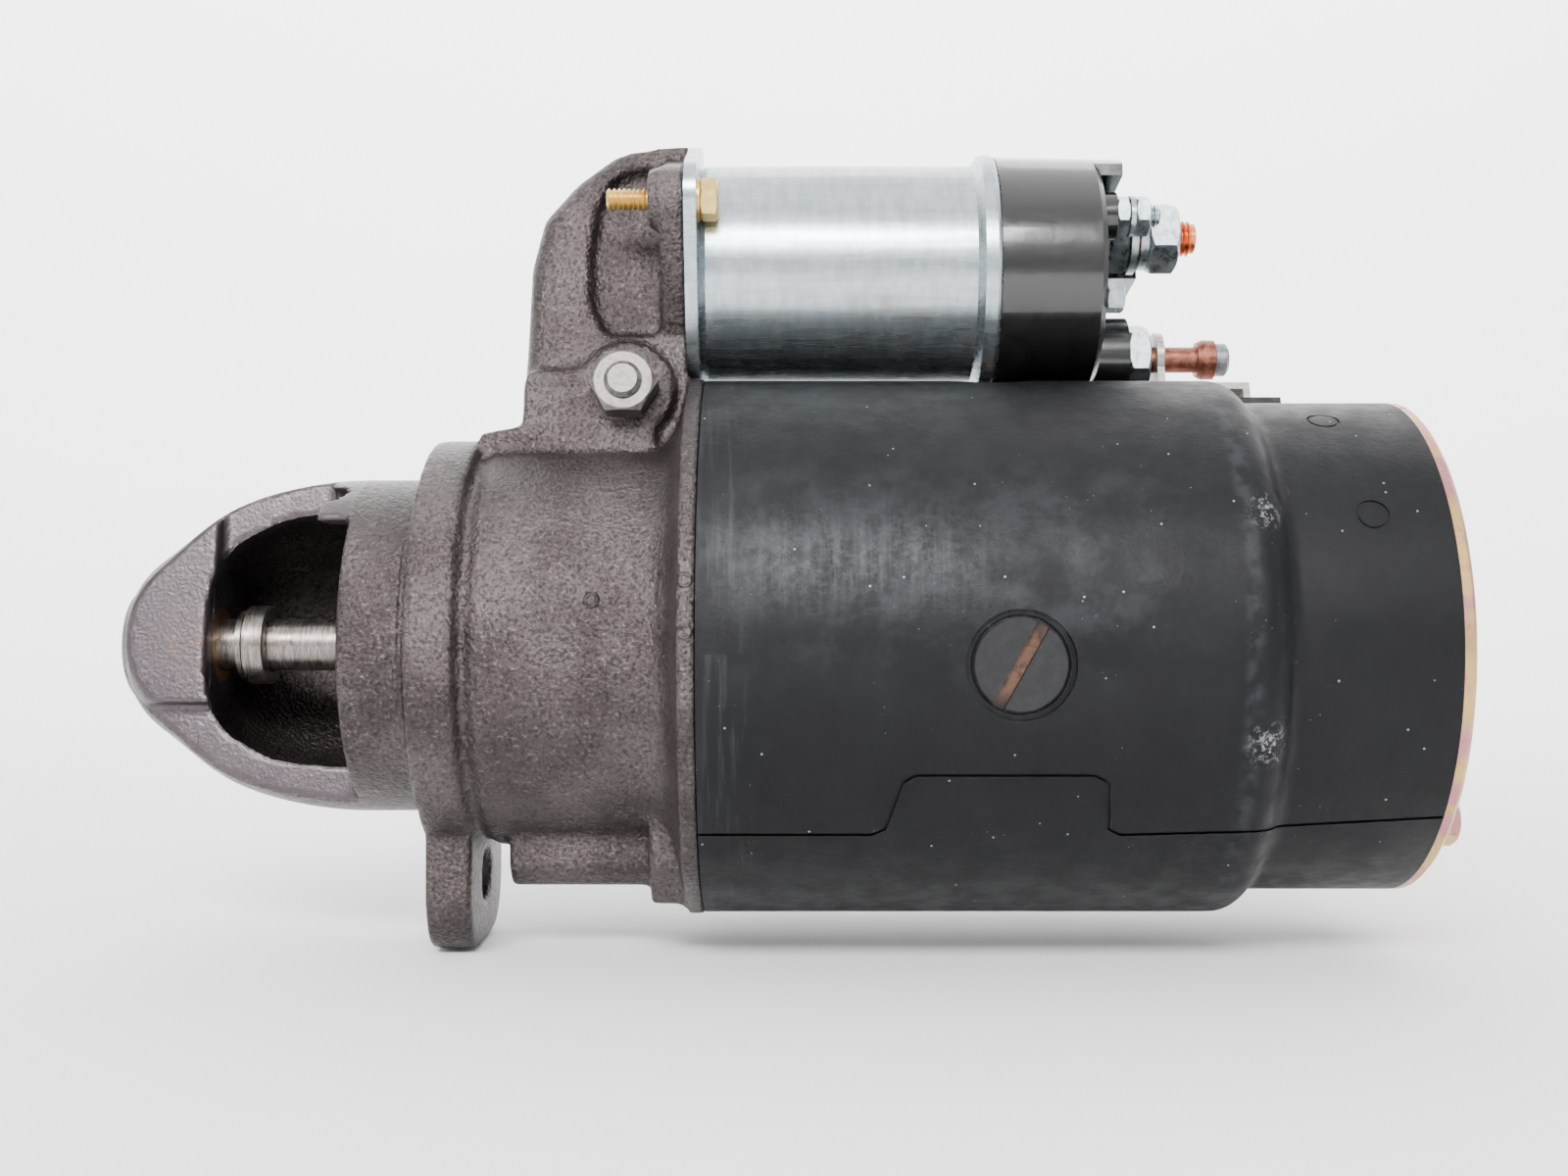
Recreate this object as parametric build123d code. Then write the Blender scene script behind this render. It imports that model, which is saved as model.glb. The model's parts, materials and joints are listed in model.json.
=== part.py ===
"""Direct-drive starter motor with a solenoid-shifted overrunning-clutch drive.

Millimetres. The shaft axis is X: the nose points to -X and the commutator end to +X. The origin is on the
shaft axis at the front face of the mounting flange, +Z is up and the pinion window faces -Y.
The solenoid and the lever housing lean a few degrees to the back about the shaft axis.
"""

import os
from math import asin, cos, degrees, pi, radians, sin, sqrt

from build123d import *

# ---------------------------------------------------------------- driving dimensions
# Drive housing
PILOT_R = 35.8
PILOT_LENGTH = 15.0
NOSE_TIP_X = -66.5
NOSE_WALL_X = -47.5
BUSHING_X = -63.2
CAVITY_R = 28.8
FLANGE_R = 44.2
FLANGE_THICK = 9.5
EAR_WIDTH = 42.0
EAR_END = 64.0
EAR_HOLE_R = 5.4
EAR_HOLE_AT = 50.0
BACK_EAR_ANGLE = 110.0
BARREL_R = 43.0
BARREL_BORE_R = 37.0
BELL_R = 57.5
BELL_X = 53.8
WINDOW_TILT = 10.0
WINDOW_PLANE = 10.0

# Field frame, poles and end plate
FRAME_X = 57.5
FRAME_END_X = 202.7
FRAME_R = 57.15
FRAME_WALL = 5.65
SHOULDER_X = 163.5
REAR_X = 172.5
REAR_R = 52.4
REAR_WALL = 5.0
POLE_X = 118.4
POLE_LENGTH = 65.0
POLE_FACE_R = 36.6
POLE_TURN = 2.0
SEAM_ANGLE = 38.0
TAB_ANGLE = 23.7
END_PLATE_THICK = 2.6
THROUGH_BOLT = (-26.3, -34.5)
THROUGH_BOLT_R = 3.1
BOLT_END_X = 52.0

# Solenoid and lever, in the leaning frame
LEAN = 10.0
SOLENOID_Z = 84.0
PIVOT_X = 40.5
PIVOT_Z = 52.0
PLUNGER_TRAVEL = 11.45
MOUNT_FACE_X = 53.2
PLATE_THICK = 2.6
CASE_R = 24.3
CASE_END_X = 120.5
CAP_R = 26.3
CAP_END_X = 143.0
BATTERY_AT = (0.0, 9.0)
SIGNAL_AT = (-13.5, 9.0)
BATTERY_STUD_FREE_X = 162.6
SIGNAL_STUD_FREE_X = 154.0
MOTOR_AT = (13.0, -15.5)
CAP_SCREWS_AT = ((-19.0, -11.2), (21.2, -4.6))

# Armature and drive
SHAFT_R = 5.6
SPLINE_R = 9.0
SPLINES = 10
KEYWAY_WIDTH = 2.4
KEYWAY_FLOOR_R = 7.4
ARMATURE_SLOTS = 20
CORE_R = 36.0
COMMUTATOR_R = 19.5
PINION_TEETH = 10
PINION_PITCH_R = 12.7
PINION_FRONT_X = -18.0
CLUTCH_R = 25.8
COLLAR_R = 20.0
COLLAR_GROOVE_R = 15.0
STOP_R = 8.5

UPPER_ARM = SOLENOID_Z - PIVOT_Z
LOWER_ARM = PIVOT_Z
LEVER_SWING = degrees(PLUNGER_TRAVEL / UPPER_ARM)
LEVER_REST = LEVER_SWING / 2
TIP_X = PIVOT_X - UPPER_ARM * sin(radians(LEVER_REST))
FORK_X = PIVOT_X + LOWER_ARM * sin(radians(LEVER_REST))
PLATE_X = MOUNT_FACE_X + PLATE_THICK
LEANING = Rot(-LEAN, 0, 0)


# ---------------------------------------------------------------- shapes used again and again
def bar(x0, x1, r, y=0.0, z=0.0):
    """A round bar along X."""
    return Pos((x0 + x1) / 2, y, z) * Rot(0, 90, 0) * Cylinder(r, x1 - x0)


def tube(x0, x1, r_out, r_in, y=0.0, z=0.0):
    """A round tube along X."""
    return bar(x0, x1, r_out, y, z) - bar(x0 - 1, x1 + 1, r_in, y, z)


def block(x0, x1, y0, y1, z0, z1):
    """A box between two corners."""
    return Pos((x0 + x1) / 2, (y0 + y1) / 2, (z0 + z1) / 2) * Box(x1 - x0, y1 - y0, z1 - z0)


def turned(*points):
    """A solid turned about X from (x, radius) points."""
    return revolve(make_face(Polyline(*points, close=True)), Axis.X)


def hexagon(x0, x1, flats, y=0.0, z=0.0, turn=0.0):
    """A hexagonal prism along X with its corners turned off as on a nut."""
    prism = extrude(RegularPolygon(flats / 2, 6, major_radius=False, rotation=turn), x1 - x0)
    corner = flats / 2 / cos(pi / 6)
    end_r = flats / 2 - 0.3
    run = 0.07 * flats
    length = x1 - x0
    dome = turned((0, 0), (0, end_r), (run, corner), (length - run, corner), (length, end_r), (length, 0))
    return Pos(x0, y, z) * (Rot(0, 90, 0) * prism & dome)


def side_slab(outline, y0, y1):
    """A slab between two Y planes, from (x, z) corners."""
    face = make_face(Polyline(*[(x, y1, z) for x, z in outline], close=True))
    return extrude(face, y1 - y0, dir=(0, -1, 0))


def cross_slab(outline, x0, x1):
    """A slab between two X planes, from (y, z) corners."""
    face = make_face(Polyline(*[(x0, y, z) for y, z in outline], close=True))
    return extrude(face, x1 - x0, dir=(1, 0, 0))


def wedge(angle, half_width, x0, x1):
    """A sector of space about X, centred on an angle from -Y towards -Z."""
    reach = 70.0
    half = radians(half_width)
    corners = [(0, 0), (-reach, -reach * sin(half) / cos(half)), (-reach, reach * sin(half) / cos(half))]
    return Rot(angle, 0, 0) * cross_slab(corners, x0, x1)


def ring_of_blocks(width, floor_r, top_r, x0, x1, count):
    """Blocks standing on a circle about X: keys, keyways or slots."""
    one = block(x0, x1, -width / 2, width / 2, floor_r, top_r)
    return Part() + [Rot(360.0 / count * i, 0, 0) * one for i in range(count)]


def both_bolts(shape_at):
    """A shape made at each of the two through-bolt axes."""
    y, z = THROUGH_BOLT
    return shape_at(y, z) + shape_at(-y, -z)


def coil_spring(x0, x1, radius, wire, turns, y=0.0, z=0.0):
    """A helical spring about an axis along X."""
    length = x1 - x0 - 2 * wire
    path = Helix(length / turns, length, radius)
    section = Plane(path @ 0, z_dir=path % 0) * Circle(wire / 2)
    spring = sweep(section, path=path)
    return Pos(x0 + wire, y, z) * Rot(0, 90, 0) * spring


def ground_thread(x0, x1, r, pitch, y=0.0, z=0.0):
    """A bar along X whose surface is ridged like a screw thread."""
    depth = 0.55 * pitch
    count = int((x1 - x0) / pitch)
    outline = [(x0, 0), (x0, r - depth)]
    for i in range(count):
        outline += [(x0 + (i + 0.5) * pitch, r), (x0 + (i + 1) * pitch, r - depth)]
    outline += [(x1, r - depth), (x1, 0)]
    return Pos(0, y, z) * turned(*outline)


# ---------------------------------------------------------------- drive housing
def ear():
    """The flange ear that points straight down."""
    half = EAR_WIDTH / 2
    plate = block(0, FLANGE_THICK, -half, half, -EAR_END, 0)
    corners = plate.edges().filter_by(Axis.X).group_by(Axis.Z)[0]
    return fillet(corners, 12.0)


def lever_box(grow, half_width, floor):
    """The box that stands on the barrel around the shift lever: outer shape or, shrunk, its hollow."""
    back = MOUNT_FACE_X + (0.0 if grow == 0 else 1.0)
    outline = [
        (18.0 - grow, floor), (18.0 - grow, 48.0), (19.0 - grow, 81.0), (21.5 - grow, 92.0 + grow * 0.5),
        (28.5 - grow * 0.7, 100.4 + grow * 0.8), (36.5, 106.6 + grow), (back, 108.3 + grow), (back, floor),
    ]
    return side_slab(outline, -half_width, half_width)


def mounting_outline(circle_r, ear_r):
    """The solenoid flange outline seen along X: a disc with two ears on a tilted line."""
    disc = Pos(0, SOLENOID_Z) * Circle(circle_r)
    ears = [Pos(side * 28.0, SOLENOID_Z + side * -7.0) * Circle(ear_r) for side in (-1, 1)]
    return make_hull((disc + ears[0] + ears[1]).edges())


def facing_x(sketch, x0, x1):
    """A (y, z) sketch pushed along X."""
    return Pos(x0, 0, 0) * extrude(Plane.YZ * sketch, x1 - x0)


def drive_housing():
    nose = Spline(
        (-PILOT_LENGTH, PILOT_R), (-33, 33.6), (-45, 29.2), (-56.5, 20.8), (-65, 12.2),
        tangents=[(-1, 0), (-0.5, -1)],
    )
    flare = Spline((45.0, BARREL_R), (BELL_X, 55.6), tangents=[(1, 0), (0.25, 1)])
    outline = [
        Line((NOSE_TIP_X, 0), (NOSE_TIP_X, 9.4)),
        ThreePointArc((NOSE_TIP_X, 9.4), (-66.2, 11.0), (-65, 12.2)),
        nose,
        Polyline((-PILOT_LENGTH, PILOT_R), (0, PILOT_R), (0, FLANGE_R), (FLANGE_THICK, FLANGE_R),
                 (FLANGE_THICK + 0.6, 41.6), (FLANGE_THICK + 2.2, 41.6), (FLANGE_THICK + 4.0, BARREL_R),
                 (45.0, BARREL_R)),
        flare,
        Polyline((BELL_X, 55.6), (BELL_X, BELL_R), (FRAME_X, BELL_R), (FRAME_X, 0), (NOSE_TIP_X, 0)),
    ]
    outside = revolve(make_face(outline), Axis.X)
    body = outside + ear() + Rot(BACK_EAR_ANGLE, 0, 0) * ear()

    # pad under the barrel and the rib that ties it to the bell
    pad = cross_slab([(-19, -30), (-19, -46), (-15, -50), (15, -50), (19, -46), (19, -30)], 17, 50)
    rib = cross_slab([(-27, -30), (-27, -44), (-20, -53), (20, -53), (27, -44), (27, -30)], 46.5, BELL_X + 1)
    body += fillet(pad.edges().filter_by(Axis.X), 2.0) + rib

    # low step on top of the barrel between the flange and the lever housing
    body += side_slab([(9.0, 30), (9.8, 45.0), (17.5, 46.4), (22, 46.4), (22, 30)], -13, 15)

    # lever housing with its pivot bosses, side recesses and solenoid flange
    box = lever_box(0, 17.0, 30.0)
    front_edges = box.edges().filter_by(lambda e: e.center().X < 36 and abs(e.center().Y) > 16.5)
    box = fillet(front_edges, 5.0)
    top = facing_x(mounting_outline(25.6, 7.0), 48.0, MOUNT_FACE_X)
    for side in (-1, 1):
        top += bar(45.5, MOUNT_FACE_X, 6.4, side * 28.0, SOLENOID_Z - side * 7.0)
    pads = fillet(block(18.6, 47.0, -20, 20, 38, 56.5).edges().filter_by(Axis.Y), 3.0)
    pads += Pos(PIVOT_X, 0, PIVOT_Z) * Rot(90, 0, 0) * Cylinder(10.5, 40)
    sunk = [(35.6, 65), (32.6, 72), (32.2, 83), (33.4, 93), (36.5, 100.0), (41, 102.5), (48, 102.5), (48, 65)]
    recess = side_slab(sunk, 13.9, 30)
    recess = fillet(recess.edges().filter_by(Axis.Y), 2.5)
    box = box - recess - mirror(recess, Plane.XZ) + pads + top
    body += LEANING * (box - bar(0, 60, 30.0))

    # hollows: nose, barrel, lever housing
    cavity = Spline((-PILOT_LENGTH, CAVITY_R), (-34, 26.8), (-43.5, 21.8), (NOSE_WALL_X, 15.0),
                    tangents=[(-1, 0), (-0.2, -1)])
    inside = [
        cavity,
        Polyline((NOSE_WALL_X, 15.0), (NOSE_WALL_X, 0), (FRAME_X + 1, 0), (FRAME_X + 1, 50.0), (55.2, 50.0),
                 (50.5, BARREL_BORE_R), (8.0, BARREL_BORE_R), (8.0, CAVITY_R), (-PILOT_LENGTH, CAVITY_R)),
    ]
    body -= revolve(make_face(inside), Axis.X)
    body -= bar(BUSHING_X, -40, 8.0)
    body -= LEANING * lever_box(-4.4, 11.6, 30.0)
    body += tube(54.5, 60.5, 51.4, 48.5)

    # lugs inside the bell that the two through bolts screw into
    body += both_bolts(lambda y, z: bar(44.0, FRAME_X, 6.0, y, z)) & outside
    body -= both_bolts(lambda y, z: bar(BOLT_END_X - 0.2, 70.0, THROUGH_BOLT_R + 0.04, y, z))

    # pinion window: one plane across the nose, set back from a raised boss at the tip
    reach = 60.0
    window = block(-46.0, -PILOT_LENGTH, -reach, -WINDOW_PLANE, -reach, 22.0)
    window += block(-46.0, -21.8, -reach, -WINDOW_PLANE, 21.0, reach)
    window += block(-80.0, -46.0, -reach, -WINDOW_PLANE, -reach, -14.0)
    window += block(-80.0, -46.0, -reach, -WINDOW_PLANE - 4.0, -reach, reach)
    run_out = Pos(-21.5, -17.0, 25.0) * Sphere(6.3)
    for cut in (window, run_out):
        body -= Rot(-WINDOW_TILT, 0, 0) * cut

    # holes
    hole = bar(-5, FLANGE_THICK + 5, EAR_HOLE_R, 0, -EAR_HOLE_AT)
    body -= hole + Rot(BACK_EAR_ANGLE, 0, 0) * hole
    body -= LEANING * (Pos(PIVOT_X, 0, PIVOT_Z) * Rot(90, 0, 0) * Cylinder(4.0, 60))
    for side in (-1, 1):
        body -= LEANING * bar(40, 60, 2.45, side * 28.0, SOLENOID_Z - side * 7.0)
    return body


def nose_bushing():
    return tube(BUSHING_X, -48.0, 8.0, SHAFT_R + 0.06)


# ---------------------------------------------------------------- field frame, poles, coils
def pole_places():
    return [Rot(POLE_TURN + 90.0 * i, 0, 0) for i in range(4)]


def frame_profile(main, rear, front, back):
    """The (x, radius) outline of the frame: main and rear radius, front and back ends."""
    shoulder = Spline((SHOULDER_X, main), ((SHOULDER_X + REAR_X) / 2 + 0.8, (main + rear) / 2),
                      (REAR_X, rear), tangents=[(1, 0), (1, 0)])
    return [
        Polyline((SHOULDER_X, main), (front, main), (front, 0), (back, 0), (back, rear), (REAR_X, rear)),
        shoulder,
    ]


def frame_skin(depth):
    """The solid inside the frame's outer skin, sunk by a depth."""
    profile = frame_profile(FRAME_R - depth, REAR_R - depth, FRAME_X - 1, FRAME_END_X + 1)
    return revolve(make_face(profile), Axis.X)


def seam_tool():
    """The closed joint of the rolled frame, with its interlocking tab, as a thin upright ribbon."""
    low = -FRAME_R * sin(radians(SEAM_ANGLE))
    high = -FRAME_R * sin(radians(TAB_ANGLE))
    path = Polyline((FRAME_X - 1, low), (91, low), (93.5, low + 1.2), (96.5, high - 1.5), (99, high),
                    (133, high), (135.5, high - 1.5), (136.5, low + 1.2), (139, low),
                    (SHOULDER_X + 4, low + 0.8), (FRAME_END_X + 1, low + 3.0))
    return Pos(0, -25, 0) * extrude(Plane.XZ * trace(path, 0.55), 40.0)


def field_frame():
    shell = revolve(make_face(frame_profile(FRAME_R, REAR_R, FRAME_X, FRAME_END_X)), Axis.X)
    hollow = frame_profile(FRAME_R - FRAME_WALL, REAR_R - REAR_WALL, FRAME_X - 1, FRAME_END_X + 1)
    shell -= revolve(make_face(hollow), Axis.X)
    shell -= seam_tool() - frame_skin(0.6)
    for place in pole_places():
        screw_hole = Pos(POLE_X, -FRAME_R, 0) * Rot(90, 0, 0)
        recess = screw_hole * Cylinder(10.5, 3.0) + screw_hole * Cylinder(9.4, 9.6)
        shell -= place * (recess + screw_hole * Cylinder(5.2, 30))
    for x, angle in ((184.4, -63.0), (187.6, -30.5)):
        mark = Pos(x, -REAR_R, 0) * Rot(90, 0, 0) * (Cylinder(3.3, 4) - Cylinder(2.8, 6))
        shell -= Rot(angle, 0, 0) * mark - frame_skin(0.3)
    shell -= grommet_block()
    return shell


def pole_shoes():
    """Four cast pole shoes screwed to the inside of the frame."""
    x0 = POLE_X - POLE_LENGTH / 2
    x1 = POLE_X + POLE_LENGTH / 2
    tip = tube(x0, x1, POLE_FACE_R + 3.2, POLE_FACE_R) & wedge(0, 30, x0, x1)
    foot = tube(x0, x1, FRAME_R - FRAME_WALL - 0.05, POLE_FACE_R) & wedge(0, 20, x0, x1)
    shoe = tip + foot - Pos(POLE_X, -48, 0) * Rot(90, 0, 0) * Cylinder(5.1, 12)
    return Part() + [place * shoe for place in pole_places()]


def pole_screws():
    """Four large flush screws with a wide slot."""
    head = Pos(POLE_X, -FRAME_R + 2.8, 0) * Rot(90, 0, 0) * Cylinder(9.2, 3.9)
    head = chamfer(head.faces().sort_by(Axis.Y)[0].edges(), 0.5)
    slot = Pos(POLE_X, -FRAME_R + 1.4, 0) * Rot(0, -61, 0) * Box(30, 2.4, 2.6)
    shank = Pos(POLE_X, -47.6, 0) * Rot(90, 0, 0) * Cylinder(5.0, 11)
    screw = head - slot + shank
    return Part() + [place * screw for place in pole_places()]


def field_coils():
    """Four flat strap coils, one round each pole."""
    x0 = POLE_X - 42.0
    x1 = POLE_X + 42.0
    pad = tube(x0, x1, 50.6, 40.4) & wedge(0, 32.5, x0, x1)
    gap = wedge(0, 20.6, x0 + 9.1, x1 - 9.1)
    coil = pad - gap
    return Part() + [place * coil for place in pole_places()]


# ---------------------------------------------------------------- commutator end
def end_plate():
    back = FRAME_END_X + END_PLATE_THICK
    plate = turned((FRAME_END_X, 0), (FRAME_END_X, REAR_R), (back - 0.9, REAR_R), (back, REAR_R - 0.9),
                   (back, 44), (back + 1.2, 38), (back + 1.2, 15), (211.0, 13.0), (211.0, 0))
    plate += tube(199.5, FRAME_END_X, REAR_R - REAR_WALL - 0.1, 44.9)
    plate += bar(195.0, FRAME_END_X, 14.0)
    plate -= bar(190.0, 209.6, 9.6)
    return plate - both_bolts(lambda y, z: bar(190, 220, THROUGH_BOLT_R + 0.3, y, z))


def end_bushing():
    return tube(196.0, 209.5, 9.6, 7.06)


def through_bolts():
    back = FRAME_END_X + END_PLATE_THICK + 1.2
    shanks = both_bolts(lambda y, z: bar(BOLT_END_X, back, THROUGH_BOLT_R, y, z))
    return shanks + both_bolts(lambda y, z: hexagon(back, back + 3.6, 9.5, y, z))


def brush_ring():
    ring = tube(187.4, 189.4, 46.6, 21.5)
    return ring - both_bolts(lambda y, z: bar(180, 195, THROUGH_BOLT_R + 0.5, y, z))


BRUSH_PLACES = {"top": 0.0, "front": 90.0, "bottom": 180.0, "back": 270.0}


def brush_boxes():
    """Four sheet-metal boxes riveted to the ring, with a strap over each for the spring to push on."""
    box = block(170.6, 187.4, -5.4, 5.4, 22.0, 41.0) - block(171.88, 186.12, -4.12, 4.12, 20.0, 39.9)
    return Part() + [Rot(turn, 0, 0) * box for turn in BRUSH_PLACES.values()]


def brush():
    return block(172.0, 186.0, -4.0, 4.0, 15.0, 31.0) - bar(160, 195, COMMUTATOR_R + 0.15)


def brush_spring():
    spring = coil_spring(0, 8.7, 3.0, 0.7, 4)
    return Pos(179.0, 0, 31.1) * Rot(0, -90, 0) * spring


# ---------------------------------------------------------------- armature
def armature_shaft():
    shaft = turned(
        (-61, 0), (-61, SHAFT_R - 0.8), (-60.2, SHAFT_R), (28, SHAFT_R), (28, SPLINE_R), (192.6, SPLINE_R),
        (192.6, 7.0), (207.5, 7.0), (208.3, 6.2), (208.3, 0),
    )
    return shaft - ring_of_blocks(KEYWAY_WIDTH, KEYWAY_FLOOR_R, SPLINE_R + 1, 27.0, 74.0, SPLINES)


def armature_core():
    x0 = POLE_X - POLE_LENGTH / 2
    x1 = POLE_X + POLE_LENGTH / 2
    return tube(x0, x1, CORE_R, SPLINE_R) - ring_of_blocks(3.4, 23.0, 40.0, x0 - 1, x1 + 1, ARMATURE_SLOTS)


def armature_winding():
    x0 = POLE_X - POLE_LENGTH / 2
    x1 = POLE_X + POLE_LENGTH / 2
    front = turned((x0 - 11, 24), (x0 - 11, 30), (x0 - 8, 33), (x0, 33), (x0, 24))
    back = turned((x1, 24), (x1, 33), (x1 + 5, 33), (x1 + 12, 24), (x1 + 13.6, 19.5), (x1 + 10, 19.5),
                  (x1 + 4, 24))
    return front + back + ring_of_blocks(3.2, 23.6, 34.5, x0, x1, ARMATURE_SLOTS)


def commutator():
    ring = tube(165.0, 190.0, COMMUTATOR_R, SPLINE_R)
    return ring - ring_of_blocks(0.6, COMMUTATOR_R - 0.8, 22, 164, 191, ARMATURE_SLOTS)


def thrust_washer():
    return tube(192.8, 194.4, 12.0, 7.2)


def stop_collar():
    return chamfer(tube(-42.0, -37.2, STOP_R, SHAFT_R).edges(), 0.35)


def stop_ring():
    return tube(-43.5, -42.3, 7.4, SHAFT_R)


# ---------------------------------------------------------------- drive assembly
def clutch_shell():
    shell = turned((2, 0), (2, 20), (3.2, 22.4), (6, 22.4), (6, CLUTCH_R - 0.8), (6.8, CLUTCH_R),
                   (25.2, CLUTCH_R), (26, CLUTCH_R - 0.8), (26, 12.4), (58, 12.4), (58, 0))
    shell -= bar(0, 5, 11.2) + bar(4, 20.5, 17.1) + bar(20, 60, SPLINE_R + 0.08)
    keys = ring_of_blocks(KEYWAY_WIDTH - 0.16, KEYWAY_FLOOR_R + 0.2, SPLINE_R + 0.6, 24.0, 58.0, SPLINES)
    return shell + keys - tube(56.3, 57.3, 13, 11.9)


def clutch_rollers():
    roller = bar(5.0, 19.5, 3.0, 0, 13.95)
    return Part() + [Rot(72.0 * i, 0, 0) * roller for i in range(5)]


def mesh_spring():
    return coil_spring(26.1, FORK_X - 5.1, 14.5, 1.8, 4)


def shift_collar():
    x0 = FORK_X - 5.0
    x1 = FORK_X + 5.0
    collar = turned((x0, 0), (x0, COLLAR_R), (x0 + 1.5, COLLAR_R), (x0 + 1.5, COLLAR_GROOVE_R),
                    (x1 - 1.5, COLLAR_GROOVE_R), (x1 - 1.5, COLLAR_R), (x1, COLLAR_R), (x1, 0))
    return collar - bar(0, 70, 12.45)


def collar_ring():
    return tube(56.35, 57.25, 14.0, 12.0)


def pinion():
    """Ten stub teeth with their leading ends bevelled, and the race that the clutch rollers grip."""
    tooth_angle = 2 * pi / PINION_TEETH
    outline = []
    for i in range(PINION_TEETH):
        middle = i * tooth_angle
        for turn, radius in ((-0.34, 9.9), (-0.25, PINION_PITCH_R), (-0.12, 15.2), (0.12, 15.2),
                             (0.25, PINION_PITCH_R), (0.34, 9.9)):
            angle = middle + turn * tooth_angle
            outline.append((radius * sin(angle), radius * cos(angle)))
    teeth = cross_slab(outline, PINION_FRONT_X, -1.5)
    bevel = turned((PINION_FRONT_X, 0), (PINION_FRONT_X, 13.0), (PINION_FRONT_X + 2, 15.4), (-1, 15.4),
                   (-1, 0))
    return (teeth & bevel) + bar(-1.5, 20.0, 10.8) - bar(-30, 30, SHAFT_R + 0.08)


# ---------------------------------------------------------------- shift lever
def shift_lever():
    """A forged fork: hub on the pivot pin, tongue up into the plunger, two shoes in the collar groove."""
    fork = [(-24.5, -4), (-24.5, 16), (-10.5, 33), (-10.5, 58), (-3, 62), (-3, SOLENOID_Z), (3, SOLENOID_Z),
            (3, 62), (10.5, 58), (10.5, 33), (24.5, 16), (24.5, -4)]
    web = cross_slab(fork, PIVOT_X - 2.5, PIVOT_X + 2.5)
    web -= bar(0, 60, 20.6) + block(0, 60, -20.6, 20.6, -10, 0)
    web -= block(PIVOT_X - 5, PIVOT_X - 1.5, -5, 5, 66, 90) + block(PIVOT_X + 1.5, PIVOT_X + 5, -5, 5, 66, 90)
    hub = Pos(PIVOT_X, 0, PIVOT_Z) * Rot(90, 0, 0) * Cylinder(7.5, 22)
    tip = Pos(PIVOT_X, 0, SOLENOID_Z) * Rot(90, 0, 0) * Cylinder(2.5, 6)
    shoe = Pos(PIVOT_X, 19.9, 0) * Rot(90, 0, 0) * Cylinder(3.1, 9.2)
    lever = web + hub + tip + shoe + mirror(shoe, Plane.XZ)
    lever -= Pos(PIVOT_X, 0, PIVOT_Z) * Rot(90, 0, 0) * Cylinder(4.0, 60)
    return Pos(PIVOT_X, 0, PIVOT_Z) * Rot(0, -LEVER_REST, 0) * Pos(-PIVOT_X, 0, -PIVOT_Z) * lever


def pivot_pin():
    pin = Pos(PIVOT_X, -3.9, PIVOT_Z) * Rot(90, 0, 0) * Cylinder(3.95, 48.2)
    pin = chamfer(pin.faces().sort_by(Axis.Y)[0].edges(), 0.9)
    head = Rot(0, 0, 90) * hexagon(20.2, 25.4, 12.7)
    return pin + Pos(PIVOT_X, 0, PIVOT_Z) * head


def pivot_nut():
    nut = hexagon(-26.6, -20.1, 12.7) - bar(-30, -10, 3.97)
    return Pos(PIVOT_X, 0, PIVOT_Z) * Rot(0, 0, 90) * Rot(30, 0, 0) * nut


# ---------------------------------------------------------------- solenoid
def solenoid_plate():
    plate = facing_x(mounting_outline(28.4, 8.2), MOUNT_FACE_X, PLATE_X) - bar(50, 60, 11.4, 0, SOLENOID_Z)
    for side in (-1, 1):
        plate -= bar(50, 60, 2.55, side * 28.0, SOLENOID_Z - side * 7.0)
    return plate - bar(50, 60, BELL_R + 0.6)


def solenoid_case():
    """The drawn steel can, its end rolled over the cap's shoulder."""
    can = turned((PLATE_X, 0), (PLATE_X, CASE_R - 0.8), (PLATE_X + 1.5, CASE_R), (115.5, CASE_R),
                 (117.0, CAP_R + 0.1), (118.0, CAP_R + 0.4), (119.6, CAP_R + 0.4), (CASE_END_X, CAP_R - 0.3),
                 (CASE_END_X, 24.6), (117.2, 24.6), (117.2, CASE_R - 1.5), (PLATE_X + 1.5, CASE_R - 1.5),
                 (PLATE_X + 1.5, 12.1), (PLATE_X, 12.1), (PLATE_X, 0))
    can -= bar(50, 60, 12.1)
    return Pos(0, 0, SOLENOID_Z) * can


def solenoid_bobbin():
    spool = tube(56.0, 107.9, 12.0, 11.02) + tube(57.4, 58.6, 22.6, 11.5) + tube(106.6, 107.9, 22.6, 11.5)
    return Pos(0, 0, SOLENOID_Z) * spool


def solenoid_coil():
    return Pos(0, 0, SOLENOID_Z) * tube(58.7, 106.5, 22.0, 12.05)


def solenoid_core():
    core = bar(99.0, 112.0, 10.9) + bar(108.0, 112.0, 22.7) - bar(90, 120, 2.5)
    return Pos(0, 0, SOLENOID_Z) * core


def plunger():
    body = turned((46, 0), (46, 10.2), (46.8, 10.95), (87.2, 10.95), (87.2, 0)) - bar(75.2, 90, 8.7)
    link = block(29.5, 46.5, -7, 7, -4.5, 4.5) - block(TIP_X - 2.95, TIP_X + 2.95, -3.6, 3.6, -10, 10)
    return Pos(0, 0, SOLENOID_Z) * (body + link)


def plunger_spring():
    return coil_spring(75.3, 98.9, 7.4, 1.2, 7, 0, SOLENOID_Z)


def contact_rod():
    rod = bar(85.2, 133.0, 2.3) + tube(128.0, 128.8, 5.0, 2.0)
    return Pos(0, 0, SOLENOID_Z) * rod


def contact_disc():
    return Pos(0, 0, SOLENOID_Z) * tube(125.5, 127.95, 13.0, 2.3)


def contact_spring():
    return coil_spring(128.9, 138.9, 4.2, 0.8, 5, 0, SOLENOID_Z)


def at_terminal(place):
    """Local Y and Z of a terminal, from its offset to the solenoid axis."""
    return place[0], SOLENOID_Z + place[1]


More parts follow.
